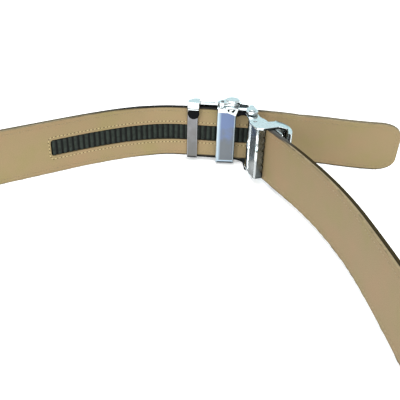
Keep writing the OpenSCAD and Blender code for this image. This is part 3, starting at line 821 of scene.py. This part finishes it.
def seam_guide(name, path, line, depth, side):
    """Guide for one seam: points along the line with the direction that the stitches face."""
    data = bpy.data.meshes.new(name)
    points = [path.point(s, depth, h) for s, h in line]
    data.from_pydata(points, [(i, i + 1) for i in range(len(points) - 1)], [])
    facing = data.attributes.new("facing", "FLOAT_VECTOR", "POINT")
    for i, (s, _) in enumerate(line):
        facing.data[i].vector = path.section(s)[1] * side
    return link(bpy.data.objects.new(name, data))


def stitch_tree(material):
    """Geometry Nodes tree that lays a stitch at every pitch along a guide."""
    tree = bpy.data.node_groups.new("row of stitches", "GeometryNodeTree")
    tree.interface.new_socket("Geometry", in_out="INPUT", socket_type="NodeSocketGeometry")
    for name in ("Pitch", "Shift", "Stitch length", "Thread width", "Thread height"):
        tree.interface.new_socket(name, in_out="INPUT", socket_type="NodeSocketFloat")
    tree.interface.new_socket("Geometry", in_out="OUTPUT", socket_type="NodeSocketGeometry")
    given = add_node(tree, "NodeGroupInput").outputs
    curve = add_node(tree, "GeometryNodeMeshToCurve", {"Mesh": given["Geometry"]})
    values = {"Curve": curve.outputs["Curve"], "Length": given["Pitch"]}
    spaced = add_node(tree, "GeometryNodeResampleCurve", values, mode="LENGTH")
    tangent = add_node(tree, "GeometryNodeInputTangent").outputs["Tangent"]
    facing = add_node(tree, "GeometryNodeInputNamedAttribute", {"Name": "facing"}, data_type="FLOAT_VECTOR")
    along = add_node(tree, "FunctionNodeAlignRotationToVector", {"Vector": tangent}, axis="X")
    turned = add_node(
        tree,
        "FunctionNodeAlignRotationToVector",
        {"Rotation": along.outputs["Rotation"], "Vector": facing.outputs["Attribute"]},
        axis="Z",
        pivot_axis="X",
    )
    values = {"Vector": tangent, "Scale": given["Shift"]}
    shift = add_node(tree, "ShaderNodeVectorMath", values, operation="SCALE")
    moved = add_node(
        tree,
        "GeometryNodeSetPosition",
        {"Geometry": spaced.outputs["Curve"], "Offset": shift.outputs["Vector"]},
    )
    # Each stitch slants by 0.02 to 0.2 radians
    slant = add_node(
        tree,
        "FunctionNodeRandomValue",
        {"Min": (0.0, 0.0, 0.02), "Max": (0.0, 0.0, 0.2), "Seed": 7},
        data_type="FLOAT_VECTOR",
    )
    slanted = add_node(
        tree,
        "FunctionNodeRotateRotation",
        {"Rotation": turned.outputs["Rotation"], "Rotate By": slant.outputs["Value"]},
        rotation_space="LOCAL",
    )
    # Bead one metre across, which the stitch's sizes then scale
    bead = add_node(tree, "GeometryNodeMeshUVSphere", {"Segments": 8, "Rings": 5, "Radius": 0.5})
    size = add_node(
        tree,
        "ShaderNodeCombineXYZ",
        {"X": given["Stitch length"], "Y": given["Thread width"], "Z": given["Thread height"]},
    )
    stitch = add_node(
        tree, "GeometryNodeTransform", {"Geometry": bead.outputs["Mesh"], "Scale": size.outputs["Vector"]}
    )
    row = add_node(
        tree,
        "GeometryNodeInstanceOnPoints",
        {
            "Points": moved.outputs["Geometry"],
            "Instance": stitch.outputs["Geometry"],
            "Rotation": slanted.outputs["Rotation"],
        },
    )
    real = add_node(tree, "GeometryNodeRealizeInstances", {"Geometry": row.outputs["Instances"]})
    smooth = add_node(tree, "GeometryNodeSetShadeSmooth", {"Geometry": real.outputs["Geometry"]})
    coloured = add_node(
        tree, "GeometryNodeSetMaterial", {"Geometry": smooth.outputs["Geometry"], "Material": material}
    )
    add_node(tree, "NodeGroupOutput", {"Geometry": coloured.outputs["Geometry"]})
    return tree


def stitched(name, guide, tree, sizes, material, slot):
    """Runs the tree on the guide and keeps the stitches as one plain mesh."""
    modifier = guide.modifiers.new("stitches", "NODES")
    modifier.node_group = tree
    for item in tree.interface.items_tree:
        if item.item_type == "SOCKET" and item.in_out == "INPUT" and item.name in sizes:
            modifier[item.identifier] = sizes[item.name]
    bpy.context.view_layer.update()
    evaluated = guide.evaluated_get(bpy.context.evaluated_depsgraph_get())
    data = bpy.data.meshes.new_from_object(evaluated)
    data.name = name
    bpy.data.objects.remove(guide)
    finish_piece(link(bpy.data.objects.new(name, data)), material, "belt", slot)


def rounded_copy(node, name, rolled, width, segments, material, slot):
    """Copy of a metal or plastic solid with whole flats and rounded edges, in place of the solid.
    rolled is the wider radius round the largest face that looks at the wearer. This rounding takes the
    second material."""
    body = next(b for b, nodes in frame["record"]["behaviour"]["bodies"].items() if node in nodes)
    mesh = joined_mesh(node)
    bmesh.ops.dissolve_limit(
        mesh, angle_limit=ONE_FLAT, use_dissolve_boundaries=False, verts=mesh.verts, edges=mesh.edges
    )
    if rolled:
        face = max((f for f in mesh.faces if f.normal.y < ROLLED_TILT), key=lambda f: f.calc_area())
        roll_edges(mesh, face.edges[:], rolled, ROLLED_STEPS, SECOND)
    sharp = [e for e in mesh.edges if e.is_manifold and e.calc_face_angle() > SHARP]
    roll_edges(mesh, [e for e in sharp if e.calc_length() > LEAST_EDGE * width], width, segments)
    data = bpy.data.meshes.new(name)
    mesh.to_mesh(data)
    mesh.free()
    obj = link(bpy.data.objects.new(name, data))
    finish_piece(obj, material, body, slot, node)
    weighted = obj.modifiers.new("flat faces", "WEIGHTED_NORMAL")
    weighted.keep_sharp = True
    return obj


def finish_jaw(jaw):
    """Gives the jaw's bent crest its bright second material as a painted highlight, and its notches and its
    biting edge the dark third one as painted shade."""
    for polygon in jaw.data.polygons:
        depth = (polygon.center - HINGE_AT).dot(CLAMP_OUTWARD)
        in_crest = CREST_TILTS[0] < polygon.normal.dot(CLAMP_ALONG) < CREST_TILTS[1]
        in_notch = NOTCH_TILTS[0] < abs(polygon.normal.z) < NOTCH_TILTS[1] or depth > NOTCH_EDGE
        if in_crest and polygon.normal.dot(CLAMP_OUTWARD) < INWARD_TILT:
            polygon.material_index = SECOND
        elif depth > NOTCH_FROM and in_notch:
            polygon.material_index = THIRD


def darken_cuts(bar):
    """Gives a bar's lower bend and its cut right flank their dark third material: painted shade."""
    foot = min(v.co.z for v in bar.data.vertices)
    for polygon in bar.data.polygons:
        in_foot = polygon.center.z < foot + DARK_FOOT and polygon.normal.z < FOOT_TILT
        if in_foot or polygon.normal.x > FLANK_TILT:
            polygon.material_index = THIRD


def darken_cheek(clamp):
    """Gives the hollow part of the upper cheek's rim, over the fixed end, the dark second material: painted
    shade.
    """
    for polygon in clamp.data.polygons:
        normal = polygon.normal
        reach = (polygon.center - HINGE_AT).dot(CLAMP_ALONG)
        in_hollow = HOLLOW_START < reach < HOLLOW_END and CHEEK_FOOT < polygon.center.z < CHEEK_TOP
        inward = normal.dot(CLAMP_OUTWARD) < INWARD_TILT or normal.dot(CLAMP_ALONG) > HOLLOW_END_TILT
        if in_hollow and inward and abs(normal.z) < CHEEK_TOP_TILT:
            polygon.material_index = SECOND


def darken_hollows(cast):
    """Gives the recesses in the frame's lip and the inner side of its low wall the dark second material:
    painted shade.
    """
    for polygon in cast.data.polygons:
        x, y, z = polygon.center
        over_recess = RECESS_LEFT < x < RECESS_RIGHT and RECESS_NEAR < y < RECESS_FLOOR
        in_lip = over_recess and RECESS_LOW < z < RECESS_HIGH
        in_wall = z < LOW_WALL_TOP and y < LOW_WALL_BACK
        if in_lip or in_wall:
            polygon.material_index = SECOND


def make_belt():
    path = StrapPath()
    start, end = strip_range(path)
    low, high = strip_heights(path)
    # Edge paint whose black by the buckle and darker fixed end are partly painted shade
    outer_paint = edge_paint("matt edge paint with painted shade", ("#6b6250", "#0f0d09", "#5c5443", "#2e2613", "#4c4d4b"))
    lining_paint = edge_paint("thin edge paint with painted shade", ("#8a7c5e", "#15120c", "#857a60", "#8a7c60", "#45403a"))
    finish_piece(outer_leather(path), (black_leather(), outer_paint), "belt", "black_leather", "strap_outer")
    lining = lining_leather(path, start, end, low, high)
    finish_piece(lining, (tan_lining(), lining_paint), "belt", "tan_leather", "strap_lining")
    rack = rack_of_teeth(path, start, end, low, high)
    finish_piece(rack, moulded_nylon(), "belt", "strip_plastic", "toothed_strip")
    edge_line = inset_outline(path, SEAM_INSET)
    window_line = window_outline(start, end, low, high)
    tan, cream, black = (
        thread("waxed tan thread", "#8b7a5a"),
        thread("waxed cream thread", "#b3a274"),
        thread("waxed black thread", "#1c1b1a"),
    )
    # The needle holes are flat dark beads between the window's stitches: painted shade in the pits
    hole = thread("painted shade of a needle hole", "#3a2f1c")
    # Piece, seam line, depth, side, finish, slot, shift, stitch length, thread width and height in mm
    seams = [
        ("lining_edge_stitches", edge_line, INNER_FACE, -1, tan, "tan_leather", 0, 1.9, 0.5, 0.3),
        ("window_stitches", window_line, INNER_FACE, -1, cream, "tan_leather", 0, 1.6, 0.65, 0.45),
        ("window_needle_hole_shades", window_line, INNER_FACE, -1, hole, "tan_leather", 1.25, 0.75, 0.75, 0.08),
        ("outer_edge_stitches", edge_line, path.thickness, 1, black, "black_leather", 0, 1.9, 0.6, 0.4),
    ]
    for name, line, depth, side, material, slot, shift, length, width, height in seams:
        sizes = {
            "Pitch": STITCH_PITCH,
            "Shift": shift * MM,
            "Stitch length": length * MM,
            "Thread width": width * MM,
            "Thread height": height * MM,
        }
        guide = seam_guide(name + "_guide", path, line, depth, side)
        stitched(name, guide, stitch_tree(material), sizes, material, slot)


def make_buckle():
    chrome, steel, plastic = bright_chrome(), dark_steel(), black_abs()
    satin = satin_metal("brushed stainless strip", "#6c6c6b", "#7d7d80", foot=NARROW_FOOT)
    # Painted highlight along the wide bar's left edge: its colour, and the places along X where it is full
    # and where it is gone
    painted_highlight = ("#a9bccb", 51.8 * MM, 53.6 * MM)
    nickel = satin_metal("satin nickel on bent sheet", "#6a6f74", "#6a799a", painted_highlight, WIDE_FOOT)
    # Painted highlights on the bars' rolled bends
    satin_rim = satin_metal("stainless with a painted highlight on its bend", "#8e8e90", "#a2a2a6")
    rim = satin_metal("nickel with a painted highlight on its bend", "#a4b0b6", "#bccdd6")
    painted_shade_metal = shade_metal()
    # Solid, piece, radius round its face and along its other edges in mm, segments, finish and slot
    pieces = [
        ("buckle_frame", "cast_frame", 0, 0.4, 3, (chrome, painted_shade_metal), "polished_plating"),
        ("clamp_body", "cast_clamp", 0, 0.5, 3, (chrome, painted_shade_metal), "polished_plating"),
        ("release_lever", "thumb_lever", 0, 0.35, 3, chrome, "polished_plating"),
        ("clamp_jaw", "gripping_jaw", 0, 0.2, 3, (steel, chrome, painted_shade_metal), "polished_plating"),
        ("narrow_bar", "narrow_keeper_bar", 0.6, 0.2, 3, (satin, satin_rim, painted_shade_metal), "satin_steel"),
        ("pawl_housing", "wide_pawl_cover", 0.9, 0.2, 3, (nickel, rim, painted_shade_metal), "satin_steel"),
        ("pawl", "locking_pawl", 0, 0.1, 2, satin, "satin_steel"),
        ("pawl_axle", "pawl_pin", 0, 0.15, 2, satin, "satin_steel"),
        ("hinge_pin", "clamp_hinge_pin", 0, 0.15, 2, chrome, "satin_steel"),
        ("jaw_pin", "jaw_hinge_pin", 0, 0.15, 2, satin, "satin_steel"),
        ("bar_cap", "half_round_cap", 0, 0.3, 3, plastic, "black_plastic"),
        # The hinge pad is a black piece set where the shade under the hinge arm falls: painted shade
        ("lug_pad", "hinge_shade_pad", 0, 0.3, 3, plastic, "black_plastic"),
    ]
    for node, name, rolled, width, segments, material, slot in pieces:
        obj = rounded_copy(node, name, rolled * MM, width * MM, segments, material, slot)
        if node == "clamp_jaw":
            finish_jaw(obj)
        elif node == "buckle_frame":
            darken_hollows(obj)
        elif node in ("narrow_bar", "pawl_housing"):
            darken_cuts(obj)
        elif node == "clamp_body":
            darken_cheek(obj)


def make_camera():
    heading, pitch, roll = (math.radians(a) for a in (CAMERA_HEADING, CAMERA_PITCH, CAMERA_ROLL))
    reach = math.cos(pitch)
    forward = Vector((-math.sin(heading) * reach, math.cos(heading) * reach, -math.sin(pitch)))
    level = Vector((math.cos(heading), math.sin(heading), 0.0))
    upright = level.cross(forward)
    right = level * math.cos(roll) + upright * math.sin(roll)
    up = upright * math.cos(roll) - level * math.sin(roll)
    data = bpy.data.cameras.new("camera")
    data.lens = CAMERA_LENS
    data.sensor_width = SENSOR
    data.clip_start = 0.01
    camera = link(bpy.data.objects.new("camera", data))
    turn = Matrix((right, up, -forward)).transposed()
    camera.matrix_world = Matrix.Translation(CAMERA_AT) @ turn.to_4x4()
    bpy.context.scene.camera = camera


def softbox(name, at, target, size, power):
    """Rectangular area light that faces its target."""
    data = bpy.data.lights.new(name, "AREA")
    data.shape = "RECTANGLE"
    data.size, data.size_y = size
    data.energy = power
    light = link(bpy.data.objects.new(name, data))
    aim = (Vector(target) - Vector(at)).to_track_quat("-Z", "Y")
    light.matrix_world = Matrix.Translation(at) @ aim.to_matrix().to_4x4()


def make_studio():
    mesh = bmesh.new()
    bmesh.ops.create_grid(mesh, x_segments=4, y_segments=4, size=FLOOR_REACH)
    data = bpy.data.meshes.new("floor")
    mesh.to_mesh(data)
    mesh.free()
    data.materials.append(studio_floor())
    link(bpy.data.objects.new("floor", data))

    world = bpy.data.worlds.new("studio")
    bpy.context.scene.world = world
    world.use_nodes = True
    tree = world.node_tree
    tree.nodes.clear()
    direction = add_node(tree, "ShaderNodeTexCoord").outputs["Generated"]
    height = add_node(tree, "ShaderNodeSeparateXYZ", {"Vector": direction}).outputs["Z"]
    # Tones by height, from the level of the floor to straight above
    tones = [
        (0.0, grey(0.09)),
        (0.1, grey(0.17)),
        (0.2, linear("#d6fbff")),
        (0.4, linear("#e6fbff")),
        (0.6, grey(0.74)),
        (1.0, grey(0.74)),
    ]
    sky = add_node(tree, "ShaderNodeValToRGB", {"Fac": height}, tones)
    background = add_node(tree, "ShaderNodeBackground", {"Color": sky.outputs["Color"], "Strength": 1.0})
    add_node(tree, "ShaderNodeOutputWorld", {"Surface": background.outputs["Background"]})

    # Each softbox: its name, its place, what it faces, its width and height, and its power in watts
    centre = (0.03, 0.05, 0.02)
    softbox("overhead softbox", (-0.1, 0.1, 1.1), centre, (1.0, 0.8), 11.0)
    softbox("front fill", (0.45, -0.9, 0.6), centre, (0.7, 0.5), 6.0)
    softbox("upright strip light", (-0.35, -0.45, 0.3), (0.09, 0.13, 0.02), (0.06, 0.5), 2.2)


make_belt()
make_buckle()
make_studio()
make_camera()
bpy.context.scene.view_settings.view_transform = "Standard"
